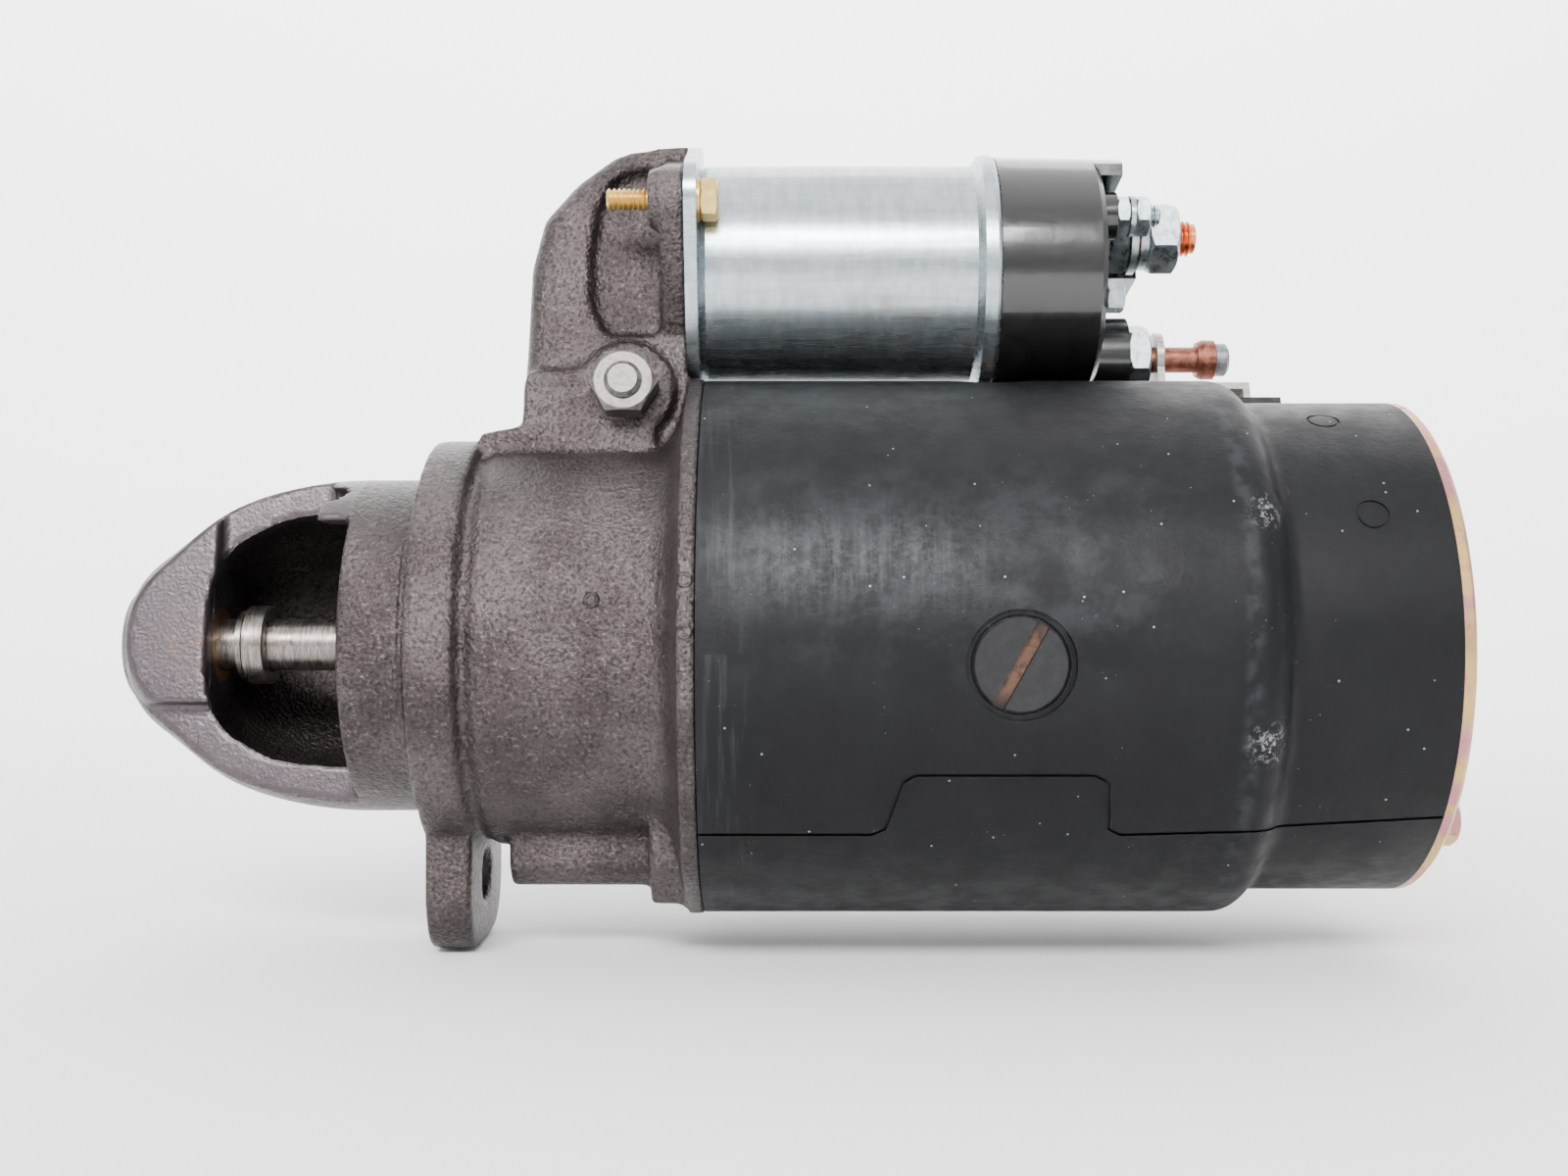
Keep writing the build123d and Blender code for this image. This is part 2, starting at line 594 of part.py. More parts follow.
def solenoid_cap():
    """Moulded cap: skirt inside the can, round body, raised bosses and barriers round the terminals."""
    y_bat, z_bat = at_terminal(BATTERY_AT)
    y_sig, z_sig = at_terminal(SIGNAL_AT)
    y_mot, z_mot = at_terminal(MOTOR_AT)
    axis = Pos(0, 0, SOLENOID_Z)
    body = turned((112.2, 0), (112.2, 22.6), (117.4, 22.6), (117.4, 24.5), (CASE_END_X, 24.5),
                  (CASE_END_X, CAP_R), (CAP_END_X - 1.2, CAP_R - 0.4), (CAP_END_X, CAP_R - 1.5),
                  (CAP_END_X, 0))
    within = bar(CAP_END_X - 1.3, 170, CAP_R - 0.5)
    top_block = block(CAP_END_X - 1, 148.3, -16, 16, 17.6, 30) & within
    barrier = block(CAP_END_X - 1, 155.6, 9.4, 26, 3, 22.8) & within
    cap = axis * (body + top_block + barrier)
    cap += bar(CAP_END_X - 1, 146.5, 8.8, y_bat, z_bat)
    cap += bar(CAP_END_X - 1, 146.6, 5.2, y_sig, z_sig)
    cap += bar(CAP_END_X - 1, 152.6, 9.6, y_mot, z_mot) & axis * bar(120, 170, 28.5)
    cap -= axis * bar(110, 139.2, 21.0)
    for r, y, z in ((3.62, y_bat, z_bat), (2.02, y_sig, z_sig), (3.0, y_mot, z_mot)):
        cap -= bar(130, 170, r, y, z)
    for y, z in CAP_SCREWS_AT:
        cap -= bar(139.3, 150, 1.9, y, SOLENOID_Z + z)
    return cap


def cap_screws():
    screws = Part()
    for place in CAP_SCREWS_AT:
        y, z = at_terminal(place)
        screws += bar(139.4, CAP_END_X, 1.88, y, z) + hexagon(CAP_END_X, CAP_END_X + 3.9, 6.35, y, z, 30)
    return screws


def battery_stud():
    y, z = at_terminal(BATTERY_AT)
    contact = bar(130.2, 133.0, 7.5, y, z) - bar(120, 140, 5.6, 0, SOLENOID_Z)
    stud = bar(133.0, BATTERY_STUD_FREE_X, 3.6, y, z) + bar(BATTERY_STUD_FREE_X, 167.0, 3.97, y, z) + contact
    return chamfer(stud.faces().sort_by(Axis.X)[-1].edges(), 0.6)


def battery_nuts():
    y, z = at_terminal(BATTERY_AT)
    nuts = hexagon(146.5, 151.6, 14.3, y, z) + hexagon(155.8, BATTERY_STUD_FREE_X, 14.3, y, z)
    return nuts - bar(140, 170, 3.62, y, z)


def battery_washers():
    y, z = at_terminal(BATTERY_AT)
    return tube(151.65, 153.2, 8.0, 4.2, y, z) + tube(153.9, 155.7, 7.1, 4.2, y, z)


def signal_stud():
    y, z = at_terminal(SIGNAL_AT)
    shank = bar(136.0, SIGNAL_STUD_FREE_X, 2.0, y, z) + bar(SIGNAL_STUD_FREE_X, 156.4, 2.4, y, z)
    return shank + bar(134.6, 136.0, 4.0, y, z)


def signal_nuts():
    y, z = at_terminal(SIGNAL_AT)
    nuts = hexagon(146.6, 149.6, 8.0, y, z) + hexagon(150.8, SIGNAL_STUD_FREE_X, 8.0, y, z)
    washer = tube(149.65, 150.7, 4.4, 2.5, y, z)
    return nuts + washer - bar(140, 170, 2.02, y, z)


def motor_stud():
    y, z = at_terminal(MOTOR_AT)
    reach = Pos(0, 0, SOLENOID_Z) * bar(120, 170, 20.8)
    contact = bar(130.2, 133.0, 8.5, y, z) & reach
    return bar(133.0, 169.2, 2.95, y, z) + contact


def motor_nut():
    y, z = at_terminal(MOTOR_AT)
    return hexagon(152.7, 157.9, 14.3, y, z) - bar(140, 170, 2.98, y, z)


MOTOR_TURN = degrees(asin(MOTOR_AT[0] / sqrt(MOTOR_AT[0] ** 2 + (SOLENOID_Z + MOTOR_AT[1]) ** 2)))
MOTOR_RADIUS = sqrt(MOTOR_AT[0] ** 2 + (SOLENOID_Z + MOTOR_AT[1]) ** 2)
STRAP_PLACE = Rot(-LEAN - MOTOR_TURN, 0, 0)


def motor_clamp():
    """The copper collar on the end of the motor stud."""
    return turned((169.25, 0), (169.25, 3.9), (170.6, 4.55), (173.2, 4.55), (173.4, 4.3), (173.4, 0))


def motor_screw():
    return turned((173.4, 0), (173.4, 3.75), (175.9, 3.75), (176.6, 2.9), (176.6, 0))


def grommet_block():
    """The room that the rubber grommet takes in the frame wall."""
    return STRAP_PLACE * block(174.0, 184.0, -7.5, 7.5, 44.0, 60.0)


def frame_grommet():
    lower = block(174.0, 184.0, -7.5, 7.5, 45.5, 54.5)
    rim = block(172.6, 185.4, -9.0, 9.0, 53.0, 55.6)
    grommet = STRAP_PLACE * (lower + rim) - (frame_skin(0.0) - grommet_block())
    return grommet - STRAP_PLACE * block(178.2, 180.2, -4.7, 4.7, 40, 60)


def field_strap():
    """A flat copper strap from the motor stud's collar, over the frame shoulder and down to the coils."""
    eye_x = 159.4
    flat = block(eye_x, eye_x + 1.6, -4.6, 4.6, 60.4, MOTOR_RADIUS)
    flat += bar(eye_x, eye_x + 1.6, 6.2, 0, MOTOR_RADIUS)
    run = block(eye_x, 180.0, -4.6, 4.6, 60.0, 61.6)
    drop = block(178.4, 180.0, -4.6, 4.6, 43.0, 61.6)
    strap = flat + run + drop - bar(150, 170, 3.0, 0, MOTOR_RADIUS)
    return STRAP_PLACE * strap


def solenoid_bolts():
    bolts = Part()
    for side in (-1, 1):
        y = side * 28.0
        z = SOLENOID_Z - side * 7.0
        bolts += ground_thread(36.7, 46.0, 2.4, 1.06, y, z) + bar(46.0, PLATE_X, 2.4, y, z)
        bolts += bar(PLATE_X, PLATE_X + 0.6, 4.6, y, z) + hexagon(PLATE_X + 0.6, PLATE_X + 4.4, 8.0, y, z, 30)
    return bolts


# ---------------------------------------------------------------- write one file per piece
PLAIN = {
    "drive_housing": drive_housing, "nose_bushing": nose_bushing, "field_frame": field_frame,
    "pole_shoes": pole_shoes, "pole_screws": pole_screws, "field_coils": field_coils, "end_plate": end_plate,
    "end_bushing": end_bushing, "through_bolts": through_bolts, "brush_ring": brush_ring,
    "brush_boxes": brush_boxes, "armature_shaft": armature_shaft, "armature_core": armature_core,
    "armature_winding": armature_winding, "commutator": commutator, "thrust_washer": thrust_washer,
    "stop_collar": stop_collar, "stop_ring": stop_ring, "clutch_shell": clutch_shell,
    "clutch_rollers": clutch_rollers, "mesh_spring": mesh_spring, "shift_collar": shift_collar,
    "collar_ring": collar_ring, "pinion": pinion, "frame_grommet": frame_grommet, "field_strap": field_strap,
}
LEANED = {
    "shift_lever": shift_lever, "pivot_pin": pivot_pin, "pivot_nut": pivot_nut,
    "solenoid_plate": solenoid_plate, "solenoid_case": solenoid_case, "solenoid_bobbin": solenoid_bobbin,
    "solenoid_coil": solenoid_coil, "solenoid_core": solenoid_core, "plunger": plunger,
    "plunger_spring": plunger_spring, "contact_rod": contact_rod, "contact_disc": contact_disc,
    "contact_spring": contact_spring, "solenoid_cap": solenoid_cap, "cap_screws": cap_screws,
    "battery_stud": battery_stud, "battery_nuts": battery_nuts, "battery_washers": battery_washers,
    "signal_stud": signal_stud, "signal_nuts": signal_nuts, "motor_stud": motor_stud, "motor_nut": motor_nut,
    "solenoid_bolts": solenoid_bolts,
}

os.makedirs("parts", exist_ok=True)
pieces = {name: make() for name, make in PLAIN.items()}
pieces.update({name: LEANING * make() for name, make in LEANED.items()})
motor_end = STRAP_PLACE * Pos(0, 0, MOTOR_RADIUS)
pieces["motor_clamp"] = motor_end * motor_clamp()
pieces["motor_screw"] = motor_end * motor_screw()
for place_name, turn in BRUSH_PLACES.items():
    pieces[f"brush_{place_name}"] = Rot(turn, 0, 0) * brush()
    pieces[f"brush_spring_{place_name}"] = Rot(turn, 0, 0) * brush_spring()
for name, piece in pieces.items():
    export_step(piece, f"parts/{name}.step")
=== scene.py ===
"""Looks of a starter motor with a side-mounted solenoid: sand-cast drive housing, painted steel field frame,
zinc-plated solenoid and plated fasteners, on a plain pale floor."""

import json
import math

import bpy
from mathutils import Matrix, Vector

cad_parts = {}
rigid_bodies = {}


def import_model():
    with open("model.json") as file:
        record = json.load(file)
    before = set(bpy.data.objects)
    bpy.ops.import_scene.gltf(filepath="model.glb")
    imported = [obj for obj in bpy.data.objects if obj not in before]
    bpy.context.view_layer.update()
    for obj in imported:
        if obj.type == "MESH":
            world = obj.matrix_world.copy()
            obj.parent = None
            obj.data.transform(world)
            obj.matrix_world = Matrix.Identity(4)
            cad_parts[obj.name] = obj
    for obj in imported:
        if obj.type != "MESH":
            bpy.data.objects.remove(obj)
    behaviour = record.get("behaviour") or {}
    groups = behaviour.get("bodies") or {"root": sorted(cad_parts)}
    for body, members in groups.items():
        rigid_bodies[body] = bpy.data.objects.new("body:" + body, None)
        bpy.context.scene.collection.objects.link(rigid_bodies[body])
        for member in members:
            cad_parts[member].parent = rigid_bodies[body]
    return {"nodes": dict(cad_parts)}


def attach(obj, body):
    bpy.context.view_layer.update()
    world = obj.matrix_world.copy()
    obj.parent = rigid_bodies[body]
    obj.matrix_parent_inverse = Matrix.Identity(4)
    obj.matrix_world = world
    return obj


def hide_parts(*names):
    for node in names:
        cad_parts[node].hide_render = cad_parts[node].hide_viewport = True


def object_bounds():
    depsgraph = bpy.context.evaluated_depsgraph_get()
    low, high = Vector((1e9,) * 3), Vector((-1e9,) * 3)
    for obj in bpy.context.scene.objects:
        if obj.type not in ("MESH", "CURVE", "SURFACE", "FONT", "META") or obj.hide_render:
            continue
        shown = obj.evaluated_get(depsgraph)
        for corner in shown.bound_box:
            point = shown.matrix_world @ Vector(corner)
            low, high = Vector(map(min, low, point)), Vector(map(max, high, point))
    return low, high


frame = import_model()
cad_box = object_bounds()

# ---------------------------------------------------------------- camera, floor and light
# The motor is seen level and square on to its side, from a little under half a metre.
# It stands over a pale swept floor, lit by one large soft light in front and weaker ones around it.
MM = 0.001
for thing in bpy.data.objects:
    thing.select_set(False)

bpy.ops.object.camera_add(location=(74.1 * MM, -391 * MM, 12.4 * MM), rotation=(math.pi / 2, 0, 0))
camera = bpy.context.active_object
camera.data.lens = 41.2
camera.data.sensor_width = 36
camera.data.clip_start = 0.01
bpy.context.scene.camera = camera

lowest = cad_box[0][2]
bpy.ops.mesh.primitive_plane_add(size=1, location=(0, 0, 0))
floor = bpy.context.active_object
floor.name = "floor"
bpy.ops.object.mode_set(mode="EDIT")
bpy.ops.mesh.select_all(action="SELECT")
bpy.ops.transform.resize(value=(8.0, 4.0, 1))
bpy.ops.transform.translate(value=(0.07, -1.0, lowest - 0.5 * MM))
bpy.ops.object.mode_set(mode="OBJECT")
for edge in floor.data.edges:
    edge.select = all(floor.data.vertices[v].co.y > 0.9 for v in edge.vertices)
for vertex in floor.data.vertices:
    vertex.select = vertex.co.y > 0.9
bpy.ops.object.mode_set(mode="EDIT")
bpy.ops.mesh.select_mode(type="EDGE")
bpy.ops.mesh.extrude_region_move(TRANSFORM_OT_translate={"value": (0, 0.6, 0.6)})
bpy.ops.mesh.extrude_region_move(TRANSFORM_OT_translate={"value": (0, 0, 0.9)})
bpy.ops.object.mode_set(mode="OBJECT")
sweep = floor.modifiers.new("sweep", "BEVEL")
sweep.width = 0.5
sweep.segments = 12
bpy.ops.object.modifier_apply(modifier="sweep")
bpy.ops.object.shade_smooth()


def soft_light(name, place, aim, width, height, watts, tint=(1, 1, 1)):
    """A rectangular soft light at a place, turned to face a point."""
    bpy.ops.object.light_add(type="AREA", location=place)
    light = bpy.context.active_object
    light.name = name
    light.data.shape = "RECTANGLE"
    light.data.size = width
    light.data.size_y = height
    light.data.energy = watts
    light.data.color = tint
    across = [a - b for a, b in zip(aim, place)]
    flat = math.hypot(across[0], across[1])
    light.rotation_euler = (math.atan2(flat, -across[2]), 0, math.atan2(-across[0], across[1]))


CENTRE = (0.07, 0.0, 0.02)
soft_light("key", (-0.1, -1.1, 0.78), CENTRE, 0.9, 0.35, 34)
soft_light("fill_left", (-1.3, -0.4, 0.3), CENTRE, 0.5, 0.5, 2.5)
soft_light("fill_right", (1.3, -0.4, 0.3), CENTRE, 0.5, 0.5, 1.5)
soft_light("backdrop_light", (0.07, 0.7, 1.3), (0.07, 2.2, 0.55), 3.4, 0.5, 85)

world = bpy.context.scene.world or bpy.data.worlds.new("studio")
bpy.context.scene.world = world
world.use_nodes = True
world.node_tree.nodes["Background"].inputs["Color"].default_value = (1, 1, 1, 1)
world.node_tree.nodes["Background"].inputs["Strength"].default_value = 0.14


# ---------------------------------------------------------------- how a finish is mixed
def tone(red, green, blue):
    """A colour from its 0 to 255 screen values."""
    out = []
    for level in (red, green, blue):
        share = level / 255
        out.append(share / 12.92 if share <= 0.04045 else ((share + 0.055) / 1.055) ** 2.4)
    return (*out, 1.0)


class Level:
    """One number that varies over a surface. Plain arithmetic on it adds the nodes that work it out."""

    def __init__(self, mix, socket):
        self.mix = mix
        self.socket = socket

    def __add__(self, other):
        return self.mix.number("ADD", self, other)

    def __sub__(self, other):
        return self.mix.number("SUBTRACT", self, other)

    def __rsub__(self, other):
        return self.mix.number("SUBTRACT", other, self)

    def __mul__(self, other):
        return self.mix.number("MULTIPLY", self, other)


class Finish:
    """A surface finish: its shader, the place on the piece in millimetres, and what varies over it."""

    def __init__(self, name, **shader):
        self.material = bpy.data.materials.new(name)
        self.material.use_nodes = True
        self.tree = self.material.node_tree
        self.shader = self.tree.nodes["Principled BSDF"]
        for socket, value in shader.items():
            self.shader.inputs[socket.replace("_", " ")].default_value = value
        metres = self.node("ShaderNodeTexCoord").outputs["Object"]
        scaled = {"Vector": metres, "Scale": 1 / MM}
        self.place = self.node("ShaderNodeVectorMath", {"operation": "SCALE"}, scaled).outputs["Vector"]
        parts = self.node("ShaderNodeSeparateXYZ", {}, {"Vector": self.place})
        self.x, self.y, self.z = (Level(self, parts.outputs[axis]) for axis in "XYZ")
        self.normal = None

    def node(self, kind, settings=None, sockets=None):
        """A node of any kind: its settings first, then what goes into its sockets."""
        node = self.tree.nodes.new(kind)
        for key, value in (settings or {}).items():
            setattr(node, key, value)
        for key, value in (sockets or {}).items():
            self.feed(node.inputs[key], value)
        return node

    def feed(self, socket, value):
        if isinstance(value, Level):
            value = value.socket
        if isinstance(value, bpy.types.NodeSocket):
            self.tree.links.new(value, socket)
        else:
            socket.default_value = value

    def number(self, operation, *values):
        node = self.node("ShaderNodeMath", {"operation": operation}, dict(enumerate(values)))
        return Level(self, node.outputs["Value"])

    def ramp(self, value, start, end, low=0.0, high=1.0):
        """Goes smoothly from low to high as the value goes from start to end, and stays there beyond."""
        node = self.node("ShaderNodeMapRange", {"interpolation_type": "SMOOTHSTEP"}, {
            "Value": value, "From Min": start, "From Max": end, "To Min": low, "To Max": high})
        return Level(self, node.outputs["Result"])

    def band(self, value, start, end, soft):
        """1 between start and end, 0 outside, with soft edges."""
        return self.ramp(value, start - soft, start + soft) * self.ramp(value, end + soft, end - soft)

    def away_from(self, x, z):
        """How far away a place on the side of the piece is."""
        along = self.x - x
        up = self.z - z
        return self.number("SQRT", along * along + up * up)

    def spot(self, x, z, radius, soft):
        """1 inside a round patch on the front of the piece, 0 outside."""
        return self.ramp(self.away_from(x, z), radius + soft, radius - soft) * self.ramp(self.y, 1, -1)

    def grain(self, size, detail=3.0, rough=0.55, stretch=(1, 1, 1), where=None):
        """Cloudy noise with features about size millimetres across, longer where stretched."""
        vector = self.node("ShaderNodeMapping", {}, {
            "Vector": where or self.place, "Scale": [1 / size / s for s in stretch]}).outputs["Vector"]
        node = self.node("ShaderNodeTexNoise", {}, {
            "Vector": vector, "Scale": 1.0, "Detail": detail, "Roughness": rough})
        return Level(self, node.outputs[0])

    def pits(self, size, amount=1.0):
        """Distance to scattered points about size millimetres apart."""
        vector = self.node("ShaderNodeMapping", {}, {
            "Vector": self.place, "Scale": [1 / size] * 3}).outputs["Vector"]
        node = self.node("ShaderNodeTexVoronoi", {}, {"Vector": vector, "Scale": 1.0, "Randomness": amount})
        return Level(self, node.outputs["Distance"])

    def out_from(self, y0=0.0, z0=0.0):
        """How far out from an axis along X."""
        y = self.y - y0
        z = self.z - z0
        return self.number("SQRT", y * y + z * z)

    def round_place(self, y0=0.0, z0=0.0):
        """The place as (along X, round the axis, out from it) for a round piece along X."""
        turn = self.number("ARCTAN2", self.z - z0, self.y - y0) * 50.0
        node = self.node("ShaderNodeCombineXYZ", {}, {"X": self.x, "Y": turn, "Z": self.out_from(y0, z0)})
        return node.outputs["Vector"]

    def blend(self, under, over, share):
        """Over laid on under by a share."""
        node = self.node("ShaderNodeMix", {"data_type": "RGBA"}, {0: share, 6: under, 7: over})
        return node.outputs[2]

    def raise_by(self, height, depth):
        """Relief on the surface: height 1 stands depth millimetres over height 0."""
        sockets = {"Height": height, "Distance": depth * MM, "Strength": 1.0}
        if self.normal:
            sockets["Normal"] = self.normal
        self.normal = self.node("ShaderNodeBump", {}, sockets).outputs["Normal"]

    def done(self, colour, rough=None, metal=None, coat=None):
        self.feed(self.shader.inputs["Base Color"], colour)
        for socket, value in (("Roughness", rough), ("Metallic", metal), ("Coat Weight", coat)):
            if value is not None:
                self.feed(self.shader.inputs[socket], value)
        if self.normal:
            self.tree.links.new(self.normal, self.shader.inputs["Normal"])
        return self.material


def put_on(material, *nodes):
    """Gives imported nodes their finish."""
    for node in nodes:
        mesh = frame["nodes"][node].data
        mesh.materials.clear()
        mesh.materials.append(material)


pale = Finish("floor_white", Roughness=0.9)
pale.done(pale.blend(tone(250, 250, 250), tone(244, 244, 244), pale.grain(400)))
floor.data.materials.append(pale.material)


# ---------------------------------------------------------------- drive housing
# One iron sand casting: nose, pilot, flange with two ears, barrel, bell and the box round the shift lever.
# The skin is rough and painted a thin metallic grey, the corners are soft, and only the boss faces are flat.
def copy_of(node, name, body):
    """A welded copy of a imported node, to be worked on and shown in its place."""
    bpy.ops.object.select_all(action="DESELECT")
    piece = bpy.data.objects.new(name, frame["nodes"][node].data.copy())
    bpy.context.scene.collection.objects.link(piece)
    bpy.context.view_layer.objects.active = piece
    piece.select_set(True)
    piece.data.materials.clear()
    bpy.ops.object.mode_set(mode="EDIT")
    bpy.ops.mesh.select_all(action="SELECT")
    bpy.ops.mesh.remove_doubles(threshold=0.002 * MM)
    bpy.ops.mesh.normals_make_consistent(inside=False)
    bpy.ops.object.mode_set(mode="OBJECT")
    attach(piece, body)
    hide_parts(node)
    return piece


def apply(piece, kind, **settings):
    """Adds a modifier to a piece and makes it final."""
    bpy.ops.object.select_all(action="DESELECT")
    piece.select_set(True)
    change = piece.modifiers.new(kind.lower(), kind)
    for key, value in settings.items():
        setattr(change, key, value)
    bpy.context.view_layer.objects.active = piece
    bpy.ops.object.modifier_apply(modifier=change.name)


def soften(piece, passes, share_at):
    """Rounds a finely divided piece's corners, by the share that share_at gives for a point in millimetres."""
    group = piece.vertex_groups.new(name="soft")
    for vertex in piece.data.vertices:
        group.add([vertex.index], share_at(*(c / MM for c in vertex.co)), "REPLACE")
    apply(piece, "SMOOTH", factor=0.5, iterations=passes, vertex_group="soft")
    piece.vertex_groups.clear()


casting = copy_of("drive_housing", "housing_casting", "housing")
# The thin nose keeps most of its edges, the barrel is rounder, and the lever box on top is roundest of all.
apply(casting, "REMESH", mode="VOXEL", voxel_size=0.8 * MM)
soften(casting, 2, lambda x, y, z: 0.6 if x < -14.2 else 1.0)
soften(casting, 8, lambda x, y, z: 0.0 if x < -13 or x > 52.4 else 1.0)
soften(casting, 12, lambda x, y, z: 1.0 if z > 49 and x < 44.5 else 0.0)
apply(casting, "DECIMATE", ratio=0.42)
bpy.ops.object.shade_smooth()

LEAN = math.radians(10)
iron = Finish("cast_iron_skin", Metallic=0.82)
out_of_window = iron.y * math.cos(LEAN) - iron.z * math.sin(LEAN)
boss = iron.ramp(out_of_window, -9.4, -9.9) * iron.ramp(iron.x, -14.6, -15.6)
sand = iron.grain(0.8, 3, 0.55)
lumps = iron.grain(2.2, 2, 0.5)
clouds = iron.grain(22, 3, 0.5)
iron_skin = iron.blend(tone(62, 55, 55), tone(86, 79, 78), iron.ramp(clouds, 0.35, 0.68))
iron_skin = iron.blend(iron_skin, tone(34, 30, 30), iron.ramp(sand, 0.5, 0.36) * 0.6)
iron_skin = iron.blend(iron_skin, tone(122, 114, 113), iron.ramp(sand, 0.58, 0.7) * 0.5)
iron_skin = iron.blend(iron_skin, tone(84, 77, 81), boss * 0.75)
rust = iron.spot(-50, 0, 5.5, 4.5) * boss * iron.ramp(iron.grain(2.4, 4, 0.6), 0.42, 0.62)
iron_skin = iron.blend(iron_skin, tone(100, 80, 70), rust * 0.5)
iron.raise_by(lumps * (1.0 - boss * 0.85), 0.35)
iron.raise_by(sand * (1.0 - boss * 0.75), 0.55)
raised_marks = iron.band(iron.x, -2.6, -1.6, 0.35)
for x, z, radius in ((36.6, 10, 1.25), (55.5, 13.9, 1.15), (55.5, 4.2, 1.15)):
    ring_mark = iron.band(iron.away_from(x, z), radius - 0.25, radius + 0.25, 0.25)
    raised_marks = raised_marks + ring_mark * iron.ramp(iron.y, 0, -1)
iron.raise_by(raised_marks, 0.35)
iron_rough = iron.ramp(iron.grain(1.3, 3, 0.6), 0.3, 0.75, 0.32, 0.46)
casting.data.materials.append(iron.done(iron_skin, iron_rough))

# ---------------------------------------------------------------- shift lever pivot
# The lever turns on a bolt through the lever box. Bolt, nut and stud end are plain steel, dulled and worn.
worn = Finish("worn_steel", Metallic=0.85)
worn_grain = worn.grain(1.1, 4, 0.6)
worn.raise_by(worn_grain, 0.12)
worn_skin = worn.blend(tone(92, 88, 87), tone(128, 124, 122), worn.ramp(worn_grain, 0.35, 0.65))
worn_skin = worn.blend(worn_skin, tone(84, 72, 66), worn.ramp(worn.grain(3.2, 3), 0.55, 0.7) * 0.6)
worn.done(worn_skin, worn.ramp(worn_grain, 0.3, 0.7, 0.32, 0.5))
put_on(worn.material, "pivot_pin", "pivot_nut")

# ---------------------------------------------------------------- field frame and pole screws
# A rolled steel tube with a closed seam and a stepped-down rear, brushed over with flat black paint.
# The paint is dusty and scuffed towards the front. A lighter grey patch at mid height on the near side is
# partly rubbed paint and partly painted highlight, and a paler band round the middle height is painted
# highlight.
paint = Finish("frame_black", Metallic=0.0, Specular_IOR_Level=0.2)
ring = paint.round_place()
paint_fine = paint.grain(0.5, 3, 0.6)
streaks = paint.grain(1.5, 4, 0.6, (1, 14, 1), ring)
black = paint.blend(tone(5, 6, 8), tone(11, 12, 15), paint.ramp(paint.grain(26, 4, 0.55), 0.35, 0.7))
# Painted highlight on rubbed paint: a light grey patch on the near side at mid height, where the key light
# falls, broken up by rub marks and streaks.
rubbed_and_painted_highlight = paint.band(paint.x, 64, 110, 12) * paint.band(paint.z, 11, 24, 8) * paint.ramp(paint.y, 0, -10)
rub_and_highlight_marks = paint.ramp(paint.grain(1.6, 6, 0.75), 0.4, 0.68) * 0.6 + paint.ramp(streaks, 0.42, 0.66) * 0.4
rubbed_and_painted_highlight = rubbed_and_painted_highlight * rub_and_highlight_marks
black = paint.blend(black, tone(92, 94, 100), rubbed_and_painted_highlight * 0.55)
# Painted highlight: a paler grey band round the frame at middle height, where the light falls, broken up by
# noise.
painted_highlight_band = paint.band(paint.x, 58, 150, 16) * paint.band(paint.z, 0, 34, 14)
painted_highlight_band = painted_highlight_band * paint.ramp(paint.grain(9, 5, 0.65), 0.42, 0.7)
black = paint.blend(black, tone(54, 57, 63), painted_highlight_band * 0.4)
front_scuff = paint.band(paint.x, 58, 66, 4) * paint.ramp(streaks, 0.5, 0.7)
black = paint.blend(black, tone(62, 64, 70), front_scuff * 0.35)
dust = paint.ramp(paint.pits(5.2), 0.05, 0.03)
specks = paint.ramp(paint.pits(2.1), 0.06, 0.035) * paint.ramp(paint.grain(18, 2), 0.5, 0.62)
black = paint.blend(black, tone(176, 178, 182), dust * 0.75 + specks * 0.4)
scuffs = paint.spot(165, -17, 3.2, 2.2) + paint.spot(165.8, 27, 2.4, 2.5)
scuffs = scuffs * paint.ramp(paint.grain(1.2, 5, 0.7), 0.5, 0.62)
black = paint.blend(black, tone(150, 150, 152), scuffs * 0.7)
shoulder = paint.band(paint.x, 160.5, 163.5, 1.2) * paint.ramp(paint.grain(4, 3), 0.4, 0.6)
black = paint.blend(black, tone(52, 54, 60), shoulder * 0.4)
paint.raise_by(paint.grain(1.6, 4, 0.6), 0.09)
paint.raise_by(paint_fine, 0.05)
paint.done(black, paint.ramp(paint.grain(6, 4), 0.3, 0.7, 0.42, 0.56))
put_on(paint.material, "field_frame")

screw_paint = Finish("screw_black", Metallic=0.0, Specular_IOR_Level=0.35)
screw_out = screw_paint.out_from()
rust_grain = screw_paint.ramp(screw_paint.grain(1.4, 4, 0.7), 0.3, 0.6)
screw_rust = screw_paint.ramp(screw_out, 55.2, 54.6) * rust_grain
screw_cloud = screw_paint.ramp(screw_paint.grain(2, 4), 0.4, 0.7)
screw_skin = screw_paint.blend(tone(15, 16, 18), tone(27, 27, 30), screw_cloud)
screw_skin = screw_paint.blend(screw_skin, tone(112, 78, 58), screw_rust * 0.8)
screw_paint.raise_by(screw_paint.grain(0.9, 4, 0.6), 0.08)
screw_paint.done(screw_skin, 0.5)
put_on(screw_paint.material, "pole_screws")

